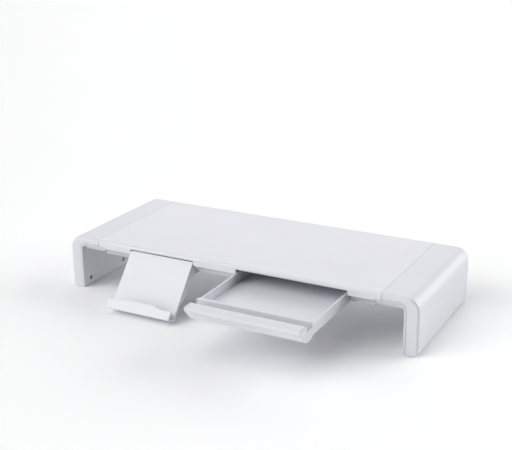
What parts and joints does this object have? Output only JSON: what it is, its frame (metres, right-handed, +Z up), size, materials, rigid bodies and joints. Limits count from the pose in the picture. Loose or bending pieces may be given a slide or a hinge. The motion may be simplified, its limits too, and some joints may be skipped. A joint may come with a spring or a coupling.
{
  "type": "monitor riser stand",
  "caption": "Low white desk riser for a monitor, with fold-in side legs, a pull-out drawer and a phone holder that slides out and tilts down.",
  "frame": {"origin": "centre of the whole object's footprint on the desk, with the drawer and the phone holder pulled out", "axes": "+X to the user's right along the platform, +Y to the rear, away from the user, +Z up"},
  "size_m": [0.52, 0.333, 0.0764],
  "materials": {
    "shell_plastic": "satin white moulded plastic, fine texture",
    "inner_plastic": "matte white moulded plastic",
    "mechanism_plastic": "matte light grey moulded plastic",
    "foot_rubber": "matte dark grey rubber",
    "fastener_steel": "zinc plated"
  },
  "bodies": {
    "platform": {"top_shell": "shell_plastic", "bottom_cover": "inner_plastic", "drawer_runner_left": "mechanism_plastic", "drawer_runner_right": "mechanism_plastic", "holder_runner_left": "mechanism_plastic", "holder_runner_right": "mechanism_plastic", "cover_screw_1": "fastener_steel", "cover_screw_2": "fastener_steel", "cover_screw_3": "fastener_steel", "cover_screw_4": "fastener_steel", "cover_screw_5": "fastener_steel", "cover_screw_6": "fastener_steel", "cover_screw_7": "fastener_steel", "cover_screw_8": "fastener_steel", "left_hinge_pin_front": "fastener_steel", "left_hinge_pin_rear": "fastener_steel", "right_hinge_pin_front": "fastener_steel", "right_hinge_pin_rear": "fastener_steel"},
    "left_leg": {"left_leg_shell": "shell_plastic", "left_leg_inner_cover": "inner_plastic", "left_foot_pad_front": "foot_rubber", "left_foot_pad_rear": "foot_rubber", "left_foot_screw_1": "fastener_steel", "left_foot_screw_2": "fastener_steel", "left_foot_screw_3": "fastener_steel", "left_flange_screw_1": "fastener_steel", "left_flange_screw_2": "fastener_steel"},
    "right_leg": {"right_leg_shell": "shell_plastic", "right_leg_inner_cover": "inner_plastic", "right_foot_pad_front": "foot_rubber", "right_foot_pad_rear": "foot_rubber", "right_foot_screw_1": "fastener_steel", "right_foot_screw_2": "fastener_steel", "right_foot_screw_3": "fastener_steel", "right_flange_screw_1": "fastener_steel", "right_flange_screw_2": "fastener_steel"},
    "drawer": {"drawer_tray": "shell_plastic", "drawer_front": "shell_plastic"},
    "holder_carriage": {"holder_carriage": "mechanism_plastic", "pivot_pin_left": "fastener_steel", "pivot_pin_right": "fastener_steel"},
    "phone_plate": {"phone_plate": "shell_plastic"}
  },
  "joints": [
    {"name": "left_leg_fold", "type": "hinge", "parent": "platform", "child": "left_leg", "pos_m": [-0.202, 0.064, 0.0595], "axis": [0, -1, 0], "range_deg": [0, 90]},
    {"name": "right_leg_fold", "type": "hinge", "parent": "platform", "child": "right_leg", "pos_m": [0.202, 0.064, 0.0595], "axis": [0, 1, 0], "range_deg": [0, 90]},
    {"name": "drawer_slide", "type": "slide", "parent": "platform", "child": "drawer", "axis": [0, 1, 0], "range_m": [0, 0.128]},
    {"name": "holder_slide", "type": "slide", "parent": "platform", "child": "holder_carriage", "axis": [0, 1, 0], "range_m": [0, 0.074]},
    {"name": "phone_plate_tilt", "type": "hinge", "parent": "holder_carriage", "child": "phone_plate", "pos_m": [-0.10675, -0.0443, 0.05], "axis": [-1, 0, 0], "range_deg": [0, 50]}
  ],
  "couplings": [
    {"joint": "phone_plate_tilt", "follows": "holder_slide", "rad_per_m": 11.791}
  ]
}
